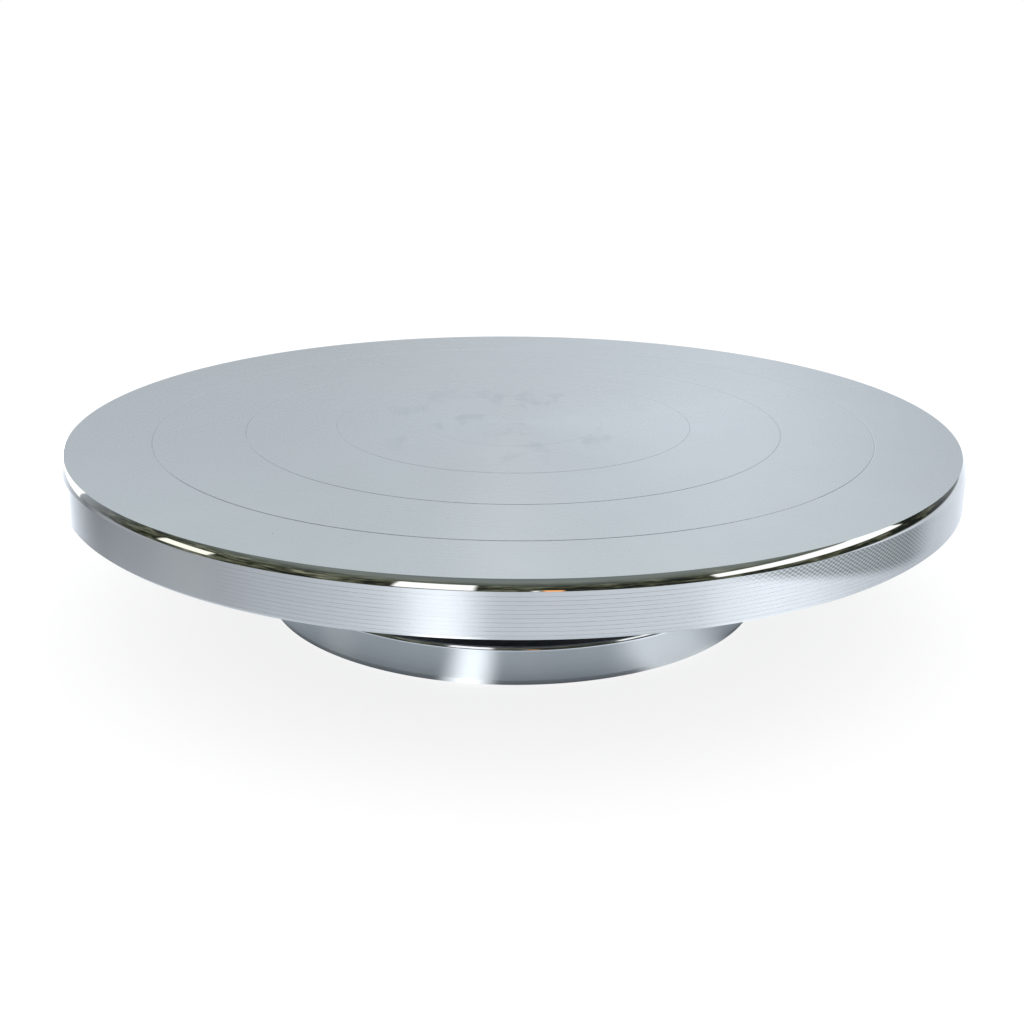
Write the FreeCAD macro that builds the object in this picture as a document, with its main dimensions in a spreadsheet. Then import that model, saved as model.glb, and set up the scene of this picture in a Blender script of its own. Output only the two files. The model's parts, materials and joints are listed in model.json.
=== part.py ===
"""Low all-aluminium cake turntable, as a parametric FreeCAD document.

A turned plate, 300 mm across, turns on a steel spindle. The spindle runs in two
deep-groove ball bearings inside the tower of a turned base casting. Millimetres,
+Z up, origin at the centre of the plane that the rubber feet stand on.
"""

import FreeCAD, Part
import math
import os
import types

import Sketcher

# ---------------------------------------------------------------- dimensions

DIMENSIONS = {
    # turntable plate
    "plate_radius": 150.0,
    "plate_top": 60.0,
    "plate_web": 6.0,
    "rim_height": 16.0,
    "rim_wall": 8.0,
    "rim_draft": 0.6,
    "rim_foot_chamfer": 0.9,
    "bevel_width": 1.4,
    "bevel_height": 2.9,
    "bevel_bulge_radius": 7.7,
    "ring_spacing": 30.3,
    "ring_groove_width": 0.36,
    "ring_groove_depth": 0.15,
    "turning_pitch": 1.15,
    "turning_depth": 0.08,
    "hub_radius": 34.0,
    "hub_depth": 3.0,
    "hub_chamfer": 1.0,
    "rib_depth": 4.0,
    "rib_width": 5.0,
    "ring_rib_radius": 92.0,
    "skirt_fillet": 2.5,
    # spindle
    "shaft_radius": 10.0,
    "shoulder_radius": 12.0,
    "flange_radius": 30.0,
    "flange_thickness": 5.0,
    "flange_chamfer": 0.8,
    "spigot_height": 3.4,
    "spigot_recess_depth": 3.6,
    "shaft_end": 8.0,
    "shaft_chamfer": 1.0,
    "centre_hole_radius": 3.0,
    "centre_hole_depth": 4.0,
    # flange screws, M5 countersunk
    "flange_screw_circle": 23.5,
    "flange_screw_radius": 2.5,
    "flange_head_radius": 4.6,
    "flange_head_height": 2.5,
    "flange_screw_length": 10.0,
    "tapped_hole_spare": 0.6,
    "socket_width": 3.0,
    "socket_depth": 1.7,
    "screw_head_land": 0.3,
    "screw_tip_chamfer": 0.5,
    # ball bearings, 20 x 37 x 9
    "bearing_outer": 18.5,
    "bearing_width": 9.0,
    "inner_land": 12.6,
    "outer_land": 15.9,
    "ball_pitch": 14.25,
    "ball_radius": 2.38,
    "race_radius": 2.55,
    "pocket_radius": 2.5,
    "ring_chamfer": 0.4,
    "shield_seat_radius": 16.3,
    "shield_seat_depth": 0.8,
    "shield_thickness": 0.4,
    "shield_gap": 0.25,
    "cage_inner": 13.4,
    "cage_outer": 15.1,
    "cage_half_width": 3.2,
    "lower_bearing_base": 12.0,
    "upper_bearing_base": 30.5,
    # snap rings, shim, spring and seal
    "housing_circlip_thickness": 1.5,
    "housing_circlip_depth": 1.0,
    "housing_circlip_width": 2.6,
    "spindle_circlip_thickness": 1.2,
    "spindle_circlip_depth": 0.5,
    "spindle_circlip_width": 2.6,
    "circlip_gap": 7.0,
    "circlip_lug_radius": 1.9,
    "circlip_lug_hole": 0.8,
    "shim_thickness": 1.0,
    "shim_radius": 13.0,
    "spring_height": 0.8,
    "spring_thickness": 0.45,
    "spring_inner": 14.8,
    "spring_lip": 0.4,
    "seal_thickness": 1.8,
    "running_gap": 0.3,
    # base casting
    "base_radius": 86.0,
    "base_bottom": 1.0,
    "base_top": 13.6,
    "base_bevel": 1.15,
    "base_foot_chamfer": 0.6,
    "base_foot_band": 1.7,
    "base_web": 5.0,
    "base_hollow_radius": 62.0,
    "tower_radius": 26.0,
    "tower_top": 43.0,
    "tower_fillet": 4.0,
    "tower_chamfer": 1.2,
    "housing_shoulder": 16.0,
    "housing_foot": 7.0,
    "base_rib_foot": 5.0,
    "base_rib_width": 4.0,
    # bottom cover and its M4 countersunk screws
    "cover_radius": 66.0,
    "cover_clearance": 0.3,
    "cover_inset": 0.6,
    "cover_thickness": 1.5,
    "cover_dish_radius": 44.0,
    "cover_dish_depth": 1.0,
    "cover_step_width": 3.0,
    "cover_screw_circle": 55.0,
    "cover_screw_radius": 2.0,
    "cover_head_radius": 3.9,
    "cover_head_height": 2.1,
    "cover_screw_length": 8.0,
    "screw_boss_radius": 5.0,
    "cross_length": 4.6,
    "cross_width": 0.9,
    "cross_depth": 1.4,
    # rubber feet
    "foot_circle": 76.0,
    "foot_radius": 7.5,
    "foot_thickness": 2.5,
    "foot_chamfer": 0.5,
}

RING_COUNT = 4
TURNING_LINES = 10
PLATE_RIBS = 8
FLANGE_SCREWS = 4
BALLS = 12
BASE_RIBS = 4
FEET = 6

# How far a cut starts outside a face, and how far an added rib or boss runs into
# the metal that it joins.
CUT_START = 0.01
BITE = 1.0

SHEET_NAME = "Dims"
FULL_TURN = 360.0
AXIS_LENGTH = 10.0
DECIMALS = 9


class Size:
    """A length that also knows the spreadsheet expression it is worked out from."""

    def __init__(self, value, text):
        self.value = value
        self.text = text

    def __add__(self, other):
        return joined(self, "+", other)

    def __radd__(self, other):
        return joined(other, "+", self)

    def __sub__(self, other):
        return joined(self, "-", other)

    def __rsub__(self, other):
        return joined(other, "-", self)

    def __mul__(self, other):
        return joined(self, "*", other)

    def __truediv__(self, other):
        return joined(self, "/", other)

    def __neg__(self):
        return joined(0.0, "-", self)


OPERATIONS = {
    "+": lambda a, b: a + b,
    "-": lambda a, b: a - b,
    "*": lambda a, b: a * b,
    "/": lambda a, b: a / b,
}


def as_size(number):
    """A plain number as a Size; a Size is returned unchanged."""
    if isinstance(number, Size):
        return number
    return Size(float(number), repr(float(number)))


def joined(left, sign, right):
    """The Size of two Sizes or numbers put together with a sign."""
    left, right = as_size(left), as_size(right)
    value = OPERATIONS[sign](left.value, right.value)
    return Size(value, "(" + left.text + " " + sign + " " + right.text + ")")


def driving_sheet(doc):
    """Writes the driving dimensions to a spreadsheet and returns them as Sizes."""
    sheet = doc.addObject("Spreadsheet::Sheet", SHEET_NAME)
    sizes = {}
    for row, (alias, number) in enumerate(DIMENSIONS.items(), start=1):
        sheet.set("A" + str(row), alias)
        sheet.set("B" + str(row), str(number))
        sheet.setAlias("B" + str(row), alias)
        sizes[alias] = Size(number, SHEET_NAME + "." + alias)
    doc.recompute()
    return types.SimpleNamespace(**sizes)


doc = FreeCAD.newDocument("CakeTurntable")
d = driving_sheet(doc)
PARTS = []

# ------------------------------------------------------------ sketch helpers


def new_body(label):
    """An empty body, listed as one sub-part of the turntable."""
    body = doc.addObject("PartDesign::Body", label)
    body.Label = label
    body.Placement = FreeCAD.Placement()
    PARTS.append(body)
    return body


def origin_feature(body, role):
    """The body's own origin plane or axis with this role."""
    return [item for item in body.Origin.OriginFeatures if item.Role == role][0]


def new_sketch(body, name, role, height=None):
    """An empty sketch on one of the body's origin planes, raised by height if one is given."""
    sketch = body.newObject("Sketcher::SketchObject", name)
    sketch.AttachmentSupport = [(origin_feature(body, role), "")]
    sketch.MapMode = "FlatFace"
    if height is not None:
        sketch.AttachmentOffset.Base.z = height.value
        sketch.setExpression("AttachmentOffset.Base.z", height.text)
    return sketch


def pin_point(sketch, edge, end, x, y):
    """Ties a point of the sketch to its two coordinates."""
    on_axis = {"DistanceX": -2, "DistanceY": -1}
    for kind, size in (("DistanceX", x), ("DistanceY", y)):
        if size.value == 0.0:
            sketch.addConstraint(Sketcher.Constraint("PointOnObject", edge, end, on_axis[kind]))
            continue
        index = sketch.addConstraint(Sketcher.Constraint(kind, -1, 1, edge, end, size.value))
        sketch.setExpression("Constraints[" + str(index) + "]", size.text)


def arc_between(start, finish, radius):
    """The minor arc between two points; a negative radius turns clockwise."""
    chord = finish - start
    middle = (start + finish) * 0.5
    left = FreeCAD.Vector(-chord.y, chord.x, 0).normalize()
    rise = math.sqrt(radius ** 2 - (chord.Length / 2) ** 2)
    centre = middle + left * math.copysign(rise, radius)
    circle = Part.Circle(centre, FreeCAD.Vector(0, 0, 1), abs(radius))
    first, last = (start, finish) if radius > 0 else (finish, start)
    return Part.ArcOfCircle(circle, circle.parameter(first), circle.parameter(last))


def draw_outline(sketch, points):
    """Draws a closed outline through the points and ties it to the spreadsheet.

    A point is (x, y), or (x, y, radius) where an arc runs on to the next point.
    """
    points = [tuple(as_size(part) for part in point) for point in points]
    corners = [FreeCAD.Vector(point[0].value, point[1].value, 0) for point in points]
    edges = []
    for index, point in enumerate(points):
        start, finish = corners[index], corners[(index + 1) % len(corners)]
        if len(point) == 2:
            shape, ends = Part.LineSegment(start, finish), (1, 2)
        else:
            shape = arc_between(start, finish, point[2].value)
            ends = (1, 2) if point[2].value > 0 else (2, 1)
        edges.append((sketch.addGeometry(shape, False), ends))
    for index, point in enumerate(points):
        edge, ends = edges[index]
        following, following_ends = edges[(index + 1) % len(edges)]
        link = Sketcher.Constraint("Coincident", edge, ends[1], following, following_ends[0])
        sketch.addConstraint(link)
        pin_point(sketch, edge, ends[0], point[0], point[1])
        if len(point) == 3:
            radius = abs(point[2].value)
            number = sketch.addConstraint(Sketcher.Constraint("Radius", edge, radius))
            sign = "" if point[2].value > 0 else "-"
            sketch.setExpression("Constraints[" + str(number) + "]", sign + point[2].text)


def draw_circle(sketch, x, y, radius):
    """Draws a circle tied to the spreadsheet."""
    x, y, radius = as_size(x), as_size(y), as_size(radius)
    centre = FreeCAD.Vector(x.value, y.value, 0)
    edge = sketch.addGeometry(Part.Circle(centre, FreeCAD.Vector(0, 0, 1), radius.value), False)
    number = sketch.addConstraint(Sketcher.Constraint("Radius", edge, radius.value))
    sketch.setExpression("Constraints[" + str(number) + "]", radius.text)
    pin_point(sketch, edge, 3, x, y)


def draw_upright_axis(sketch, x):
    """Adds a vertical construction line at x, to revolve about."""
    foot = FreeCAD.Vector(x.value, 0, 0)
    head = FreeCAD.Vector(x.value, AXIS_LENGTH, 0)
    edge = sketch.addGeometry(Part.LineSegment(foot, head), True)
    sketch.addConstraint(Sketcher.Constraint("Vertical", edge))
    sketch.addConstraint(Sketcher.Constraint("Distance", edge, AXIS_LENGTH))
    pin_point(sketch, edge, 1, x, as_size(0))


def rectangle(left, bottom, right, top):
    """The four corners of a rectangle, anticlockwise."""
    return [(left, bottom), (right, bottom), (right, top), (left, top)]


# ----------------------------------------------------------- feature helpers


def revolve(body, name, outlines=(), circles=(), kind="Revolution", about=None):
    """Revolves XZ sections about Z, or about an upright axis at x = about."""
    sketch = new_sketch(body, name + "Sketch", "XZ_Plane")
    for outline in outlines:
        draw_outline(sketch, outline)
    for circle in circles:
        draw_circle(sketch, *circle)
    if about is not None:
        draw_upright_axis(sketch, about)
    feature = body.newObject("PartDesign::" + kind, name)
    feature.Profile = sketch
    feature.ReferenceAxis = (sketch, ["V_Axis" if about is None else "Axis0"])
    feature.Angle = FULL_TURN
    return feature


def pad(body, name, height, length, outlines=(), circles=()):
    """Pads outlines and circles drawn in the XY plane at this height, upwards."""
    sketch = new_sketch(body, name + "Sketch", "XY_Plane", height)
    for outline in outlines:
        draw_outline(sketch, outline)
    for circle in circles:
        draw_circle(sketch, *circle)
    feature = body.newObject("PartDesign::Pad", name)
    feature.Profile = sketch
    feature.Length = length.value
    feature.setExpression("Length", length.text)
    return feature


def pocket_up(body, name, height, length, outlines=(), circles=()):
    """Cuts outlines and circles drawn in the XY plane at this height, upwards."""
    sketch = new_sketch(body, name + "Sketch", "XY_Plane", height)
    for outline in outlines:
        draw_outline(sketch, outline)
    for circle in circles:
        draw_circle(sketch, *circle)
    feature = body.newObject("PartDesign::Pocket", name)
    feature.Profile = sketch
    feature.Length = length.value
    feature.setExpression("Length", length.text)
    feature.Reversed = True
    return feature


def repeat_round(body, name, features, count):
    """Repeats features evenly round the Z axis and makes that the body's tip."""
    doc.recompute()
    pattern = body.newObject("PartDesign::PolarPattern", name)
    pattern.Originals = features
    pattern.Axis = (origin_feature(body, "Z_Axis"), [""])
    pattern.Angle = FULL_TURN
    pattern.Occurrences = count
    body.Tip = pattern
    doc.recompute()
    return pattern


def turned(label, outline):
    """A sub-part made by revolving one outline about Z."""
    body = new_body(label)
    revolve(body, "Turned", [outline])
    return body


def ball_outline(radius, middle):
    """Half of a ball's section, on the pitch circle of a bearing."""
    return [(d.ball_pitch, middle - radius, radius), (d.ball_pitch + radius, middle, radius),
            (d.ball_pitch, middle + radius)]


def countersunk_outline(axis, foot, length, radius, head_radius, head_height):
    """Half of a countersunk screw's section, head down, from foot upwards."""
    return [
        (axis, foot),
        (axis + head_radius, foot),
        (axis + head_radius, foot + d.screw_head_land),
        (axis + radius, foot + head_height),
        (axis + radius, foot + length - d.screw_tip_chamfer),
        (axis + radius - d.screw_tip_chamfer, foot + length),
        (axis, foot + length),
    ]


# ----------------------------------------------------------- derived heights

rim_bottom = d.plate_top - d.rim_height
web_bottom = d.plate_top - d.plate_web
hub_bottom = web_bottom - d.hub_depth
flange_bottom = hub_bottom - d.flange_thickness
upper_bearing_top = d.upper_bearing_base + d.bearing_width
lower_bearing_top = d.lower_bearing_base + d.bearing_width
base_web_bottom = d.base_top - d.base_web
cover_bottom = d.base_bottom + d.cover_inset
cover_top = cover_bottom + d.cover_thickness
upper_circlip_base = upper_bearing_top
lower_circlip_base = d.lower_bearing_base - d.spring_height - d.housing_circlip_thickness
shim_base = d.lower_bearing_base - d.shim_thickness
spindle_circlip_base = shim_base - d.spindle_circlip_thickness
housing_groove_radius = d.bearing_outer + d.housing_circlip_depth
skirt_inner = d.plate_radius - d.rim_wall

# ------------------------------------------------------------ rotating parts


def plate_section():
    """Half section of the plate: flat top, bulged bevel, rim, skirt and hub."""
    return [
        (0, d.plate_top),
        (0, hub_bottom + d.spigot_recess_depth),
        (d.shaft_radius, hub_bottom + d.spigot_recess_depth),
        (d.shaft_radius, hub_bottom),
        (d.hub_radius, hub_bottom),
        (d.hub_radius + d.hub_chamfer, web_bottom),
        (skirt_inner - d.skirt_fillet, web_bottom, -d.skirt_fillet),
        (skirt_inner, web_bottom - d.skirt_fillet),
        (skirt_inner + d.rim_draft, rim_bottom),
        (d.plate_radius - d.rim_foot_chamfer, rim_bottom),
        (d.plate_radius, rim_bottom + d.rim_foot_chamfer),
        (d.plate_radius, d.plate_top - d.bevel_height, d.bevel_bulge_radius),
        (d.plate_radius - d.bevel_width, d.plate_top),
    ]


def ring_groove_sections():
    """V sections of the centring rings turned into the top of the plate."""
    sections = []
    for number in range(1, RING_COUNT + 1):
        radius = d.ring_spacing * number
        half = d.ring_groove_width / 2
        sections.append([
            (radius, d.plate_top - d.ring_groove_depth),
            (radius + half, d.plate_top + CUT_START),
            (radius - half, d.plate_top + CUT_START),
        ])
    return sections


def turning_line_sections():
    """V sections of the fine lines that turning leaves round the rim."""
    sections = []
    first = rim_bottom + d.rim_foot_chamfer + d.turning_pitch / 2
    for number in range(TURNING_LINES):
        middle = first + d.turning_pitch * number
        sections.append([
            (d.plate_radius - d.turning_depth, middle),
            (d.plate_radius + CUT_START, middle - d.turning_depth * 2),
            (d.plate_radius + CUT_START, middle + d.turning_depth * 2),
        ])
    return sections


def turntable_plate():
    """Cast plate with a skirt rim, ribs underneath and a hub for the spindle flange."""
    body = new_body("turntable_plate")
    revolve(body, "Disc", [plate_section()])
    ring_rib = rectangle(d.ring_rib_radius, web_bottom - d.rib_depth,
                         d.ring_rib_radius + d.rib_width, web_bottom + BITE)
    revolve(body, "RingRib", [ring_rib])
    half = d.rib_width / 2
    rib = rectangle(d.hub_radius - BITE, -half, skirt_inner + BITE, half)
    first_rib = pad(body, "Rib", web_bottom - d.rib_depth, d.rib_depth + BITE, outlines=[rib])
    repeat_round(body, "Ribs", [first_rib], PLATE_RIBS)
    hole = (d.flange_screw_circle, 0, d.flange_screw_radius)
    depth = d.flange_screw_length - d.flange_thickness + d.tapped_hole_spare
    first_hole = pocket_up(body, "ScrewHole", hub_bottom, depth, circles=[hole])
    repeat_round(body, "ScrewHoles", [first_hole], FLANGE_SCREWS)
    revolve(body, "CentringRings", ring_groove_sections(), kind="Groove")
    body.Tip = revolve(body, "TurningLines", turning_line_sections(), kind="Groove")


def flange_screw_section():
    """Section of a flange screw, which its countersunk hole in the flange matches."""
    return countersunk_outline(d.flange_screw_circle, flange_bottom, d.flange_screw_length,
                               d.flange_screw_radius, d.flange_head_radius, d.flange_head_height)


def bearing_spindle():
    """Steel spindle with a flange, a spigot, a shoulder and a snap-ring groove."""
    body = new_body("bearing_spindle")
    groove_radius = d.shaft_radius - d.spindle_circlip_depth
    revolve(body, "Turned", [[
        (0, d.shaft_end + d.centre_hole_depth),
        (d.centre_hole_radius, d.shaft_end),
        (d.shaft_radius - d.shaft_chamfer, d.shaft_end),
        (d.shaft_radius, d.shaft_end + d.shaft_chamfer),
        (d.shaft_radius, spindle_circlip_base),
        (groove_radius, spindle_circlip_base),
        (groove_radius, shim_base),
        (d.shaft_radius, shim_base),
        (d.shaft_radius, upper_bearing_top),
        (d.shoulder_radius, upper_bearing_top),
        (d.shoulder_radius, flange_bottom),
        (d.flange_radius - d.flange_chamfer, flange_bottom),
        (d.flange_radius, flange_bottom + d.flange_chamfer),
        (d.flange_radius, hub_bottom),
        (d.shaft_radius, hub_bottom),
        (d.shaft_radius, hub_bottom + d.spigot_height),
        (0, hub_bottom + d.spigot_height),
    ]])
    hole = revolve(body, "ScrewHole", [flange_screw_section()], kind="Groove",
                   about=d.flange_screw_circle)
    repeat_round(body, "ScrewHoles", [hole], FLANGE_SCREWS)


def hexagon(centre, across_flats):
    """The corners of a hexagonal socket round a point on the X axis."""
    corner = across_flats / math.sqrt(3.0)
    points = []
    for step in range(6):
        angle = math.radians(30 + 60 * step)
        across = round(math.cos(angle), DECIMALS)
        along = round(math.sin(angle), DECIMALS)
        points.append((centre + corner * across, corner * along))
    return points


def spindle_screws():
    """Countersunk socket screws that hold the flange to the plate's hub."""
    body = new_body("spindle_screws")
    screw = revolve(body, "Screw", [flange_screw_section()], about=d.flange_screw_circle)
    socket = pocket_up(body, "Socket", flange_bottom, d.socket_depth,
                       outlines=[hexagon(d.flange_screw_circle, d.socket_width)])
    repeat_round(body, "Screws", [screw, socket], FLANGE_SCREWS)


def inner_ring_spacer():
    """Sleeve that keeps the two inner rings apart."""
    turned("inner_ring_spacer",
           rectangle(d.shaft_radius, lower_bearing_top, d.shoulder_radius, d.upper_bearing_base))


def shim_washer():
    """Shim between the lower inner ring and the spindle's snap ring."""
    turned("shim_washer", rectangle(d.shaft_radius, shim_base, d.shim_radius, d.lower_bearing_base))


# ------------------------------------------------------------- ball bearings


def inner_ring(label, base):
    """Inner ring of a bearing, with a round race in its outer face."""
    middle = base + d.bearing_width / 2
    top = base + d.bearing_width
    body = turned(label, [
        (d.shaft_radius, base + d.ring_chamfer),
        (d.shaft_radius + d.ring_chamfer, base),
        (d.inner_land, base),
        (d.inner_land, top),
        (d.shaft_radius + d.ring_chamfer, top),
        (d.shaft_radius, top - d.ring_chamfer),
    ])
    revolve(body, "Race", circles=[(d.ball_pitch, middle, d.race_radius)], kind="Groove")


def outer_ring(label, base):
    """Outer ring of a bearing, with a race inside and a seat for each shield."""
    middle = base + d.bearing_width / 2
    top = base + d.bearing_width
    body = turned(label, [
        (d.outer_land, base + d.shield_seat_depth),
        (d.shield_seat_radius, base + d.shield_seat_depth),
        (d.shield_seat_radius, base),
        (d.bearing_outer - d.ring_chamfer, base),
        (d.bearing_outer, base + d.ring_chamfer),
        (d.bearing_outer, top - d.ring_chamfer),
        (d.bearing_outer - d.ring_chamfer, top),
        (d.shield_seat_radius, top),
        (d.shield_seat_radius, top - d.shield_seat_depth),
        (d.outer_land, top - d.shield_seat_depth),
    ])
    revolve(body, "Race", circles=[(d.ball_pitch, middle, d.race_radius)], kind="Groove")


def bearing_shields(label, base):
    """The two pressed dust shields that close a bearing."""
    body = new_body(label)
    inner = d.inner_land + d.shield_gap
    low = base + d.shield_seat_depth - d.shield_thickness
    high = base + d.bearing_width - d.shield_seat_depth
    sections = [rectangle(inner, foot, d.shield_seat_radius, foot + d.shield_thickness)
                for foot in (low, high)]
    revolve(body, "Shields", sections)


def bearing_balls(label, base):
    """The ring of balls of one bearing."""
    body = new_body(label)
    outline = ball_outline(d.ball_radius, base + d.bearing_width / 2)
    ball = revolve(body, "Ball", [outline], about=d.ball_pitch)
    repeat_round(body, "Balls", [ball], BALLS)


def ball_cage(label, base):
    """The cage of one bearing, with a round pocket for each ball."""
    middle = base + d.bearing_width / 2
    body = turned(label, rectangle(d.cage_inner, middle - d.cage_half_width,
                                   d.cage_outer, middle + d.cage_half_width))
    outline = ball_outline(d.pocket_radius, middle)
    pocket = revolve(body, "Pocket", [outline], kind="Groove", about=d.ball_pitch)
    repeat_round(body, "Pockets", [pocket], BALLS)


def ball_bearing(prefix, base):
    """All the pieces of one bearing whose lower face is at this height."""
    inner_ring(prefix + "_bearing_inner_ring", base)
    outer_ring(prefix + "_bearing_outer_ring", base)
    bearing_shields(prefix + "_bearing_shields", base)
    bearing_balls(prefix + "_bearing_balls", base)
    ball_cage(prefix + "_ball_cage", base)


# ---------------------------------------------------------------- snap rings


def snap_ring(label, base, thickness, inner, outer, lug_middle):
    """An open snap ring whose two lugs, with plier holes, stand beside the gap."""
    body = new_body(label)
    pad(body, "Ring", base, thickness, circles=[(0, 0, outer), (0, 0, inner)])
    half_gap = d.circlip_gap / 2
    gap = rectangle(inner - BITE, -half_gap, outer + BITE, half_gap)
    pocket_up(body, "Gap", base, thickness, outlines=[gap])
    lugs = [(lug_middle, side, d.circlip_lug_radius) for side in (half_gap, -half_gap)]
    pad(body, "Lugs", base, thickness, circles=lugs)
    holes = [(lug_middle, side, d.circlip_lug_hole) for side in (half_gap, -half_gap)]
    body.Tip = pocket_up(body, "PlierHoles", base, thickness, circles=holes)


def housing_circlip(label, base):
    """Internal snap ring that holds a bearing's outer ring in the housing."""
    inner = housing_groove_radius - d.housing_circlip_width
    snap_ring(label, base, d.housing_circlip_thickness, inner, housing_groove_radius, inner)


def spindle_circlip():
    """External snap ring that holds the spindle up in the bearings."""
    inner = d.shaft_radius - d.spindle_circlip_depth
    outer = inner + d.spindle_circlip_width
    snap_ring("spindle_circlip", spindle_circlip_base, d.spindle_circlip_thickness, inner, outer,
              outer)


def preload_disc_spring():
    """Conical spring washer that takes up the bearings' play."""
    foot = d.lower_bearing_base - d.spring_height
    head = d.lower_bearing_base
    turned("preload_disc_spring", [
        (d.spring_inner, foot),
        (d.spring_inner + d.spring_lip, foot),
        (d.bearing_outer - d.running_gap, head - d.spring_thickness),
        (d.bearing_outer - d.running_gap, head),
        (d.bearing_outer - d.running_gap - d.spring_lip, head),
        (d.spring_inner, foot + d.spring_thickness),
    ])


def felt_dust_seal():
    """Felt ring in the mouth of the tower, just clear of the turning shoulder."""
    turned("felt_dust_seal",
           rectangle(d.shoulder_radius + d.running_gap, d.tower_top - d.seal_thickness,
                     d.bearing_outer, d.tower_top))


# ----------------------------------------------------------------- base parts


def base_section():
    """Half section of the base: turned disc, bearing tower and hollow underside."""
    circlip_top = upper_circlip_base + d.housing_circlip_thickness
    lower_circlip_top = lower_circlip_base + d.housing_circlip_thickness
    return [
        (d.bearing_outer, d.housing_foot),
        (d.tower_radius, d.housing_foot),
        (d.tower_radius, base_web_bottom),
        (d.base_hollow_radius, base_web_bottom),
        (d.base_hollow_radius, cover_top),
        (d.cover_radius, cover_top),
        (d.cover_radius, d.base_bottom),
        (d.base_radius - d.base_foot_chamfer, d.base_bottom),
        (d.base_radius, d.base_bottom + d.base_foot_band),
        (d.base_radius, d.base_top - d.base_bevel),
        (d.base_radius - d.base_bevel, d.base_top),
        (d.tower_radius + d.tower_fillet, d.base_top, -d.tower_fillet),
        (d.tower_radius, d.base_top + d.tower_fillet),
        (d.tower_radius, d.tower_top - d.tower_chamfer),
        (d.tower_radius - d.tower_chamfer, d.tower_top),
        (d.bearing_outer, d.tower_top),
        (d.bearing_outer, circlip_top),
        (housing_groove_radius, circlip_top),
        (housing_groove_radius, upper_circlip_base),
        (d.bearing_outer, upper_circlip_base),
        (d.bearing_outer, d.upper_bearing_base),
        (d.housing_shoulder, d.upper_bearing_base),
        (d.housing_shoulder, lower_bearing_top),
        (d.bearing_outer, lower_bearing_top),
        (d.bearing_outer, lower_circlip_top),
        (housing_groove_radius, lower_circlip_top),
        (housing_groove_radius, lower_circlip_base),
        (d.bearing_outer, lower_circlip_base),
    ]


def base_casting():
    """Turned base casting with its ribs, screw bosses and the seats of the feet."""
    body = new_body("base_casting")
    revolve(body, "Casting", [base_section()])
    half = d.base_rib_width / 2
    rib = rectangle(d.tower_radius - BITE, -half, d.base_hollow_radius + BITE, half)
    rib_height = base_web_bottom - d.base_rib_foot + BITE
    first_rib = pad(body, "Rib", d.base_rib_foot, rib_height, outlines=[rib])
    boss = (d.cover_screw_circle, 0, d.screw_boss_radius)
    boss_height = base_web_bottom - cover_top + BITE
    first_boss = pad(body, "ScrewBoss", cover_top, boss_height, circles=[boss])
    repeat_round(body, "RibsAndBosses", [first_rib, first_boss], BASE_RIBS)
    first_hole = revolve(body, "ScrewHole", [cover_screw_section()], kind="Groove",
                         about=d.cover_screw_circle)
    repeat_round(body, "ScrewHoles", [first_hole], BASE_RIBS)
    seat = (foot_x(), foot_y(), d.foot_radius)
    first_seat = pocket_up(body, "FootSeat", d.base_bottom, d.foot_thickness - d.base_bottom,
                           circles=[seat])
    repeat_round(body, "FootSeats", [first_seat], FEET)


def foot_x():
    """X of the first foot, half a foot spacing round from the X axis."""
    return d.foot_circle * round(math.cos(math.pi / FEET), DECIMALS)


def foot_y():
    """Y of the first foot."""
    return d.foot_circle * round(math.sin(math.pi / FEET), DECIMALS)


def rubber_feet():
    """Round rubber pads glued into the underside, standing just proud of it."""
    body = new_body("rubber_feet")
    pad_height = d.foot_thickness - d.foot_chamfer
    pads = pad(body, "Pad", d.foot_chamfer, pad_height, circles=[(foot_x(), foot_y(), d.foot_radius)])
    tread = (foot_x(), foot_y(), d.foot_radius - d.foot_chamfer)
    treads = pad(body, "Tread", None, d.foot_chamfer, circles=[tread])
    repeat_round(body, "Feet", [pads, treads], FEET)


def cover_screw_section():
    """Section of a cover screw, which its countersunk hole in cover and casting matches."""
    return countersunk_outline(d.cover_screw_circle, cover_bottom, d.cover_screw_length,
                               d.cover_screw_radius, d.cover_head_radius, d.cover_head_height)


def bottom_cover():
    """Dished sheet that closes the hollow of the base."""
    body = new_body("bottom_cover")
    edge = d.cover_radius - d.cover_clearance
    step = d.cover_dish_radius + d.cover_step_width
    revolve(body, "Sheet", [[
        (0, cover_bottom + d.cover_dish_depth),
        (d.cover_dish_radius, cover_bottom + d.cover_dish_depth),
        (step, cover_bottom),
        (edge, cover_bottom),
        (edge, cover_top),
        (step, cover_top),
        (d.cover_dish_radius, cover_top + d.cover_dish_depth),
        (0, cover_top + d.cover_dish_depth),
    ]])
    hole = revolve(body, "ScrewHole", [cover_screw_section()], kind="Groove",
                   about=d.cover_screw_circle)
    repeat_round(body, "ScrewHoles", [hole], BASE_RIBS)


def cross_outline(centre, length, width):
    """The twelve corners of a cross recess round a point on the X axis."""
    far, near = length / 2, width / 2
    steps = [(far, -near), (far, near), (near, near), (near, far), (-near, far), (-near, near),
             (-far, near), (-far, -near), (-near, -near), (-near, -far), (near, -far), (near, -near)]
    return [(centre + across, along) for across, along in steps]


def cover_screws():
    """Countersunk cross-recess screws that hold the bottom cover."""
    body = new_body("cover_screws")
    screw = revolve(body, "Screw", [cover_screw_section()], about=d.cover_screw_circle)
    recess = pocket_up(body, "Recess", cover_bottom, d.cross_depth,
                       outlines=[cross_outline(d.cover_screw_circle, d.cross_length, d.cross_width)])
    repeat_round(body, "Screws", [screw, recess], BASE_RIBS)


# -------------------------------------------------------------- the whole thing


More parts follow.
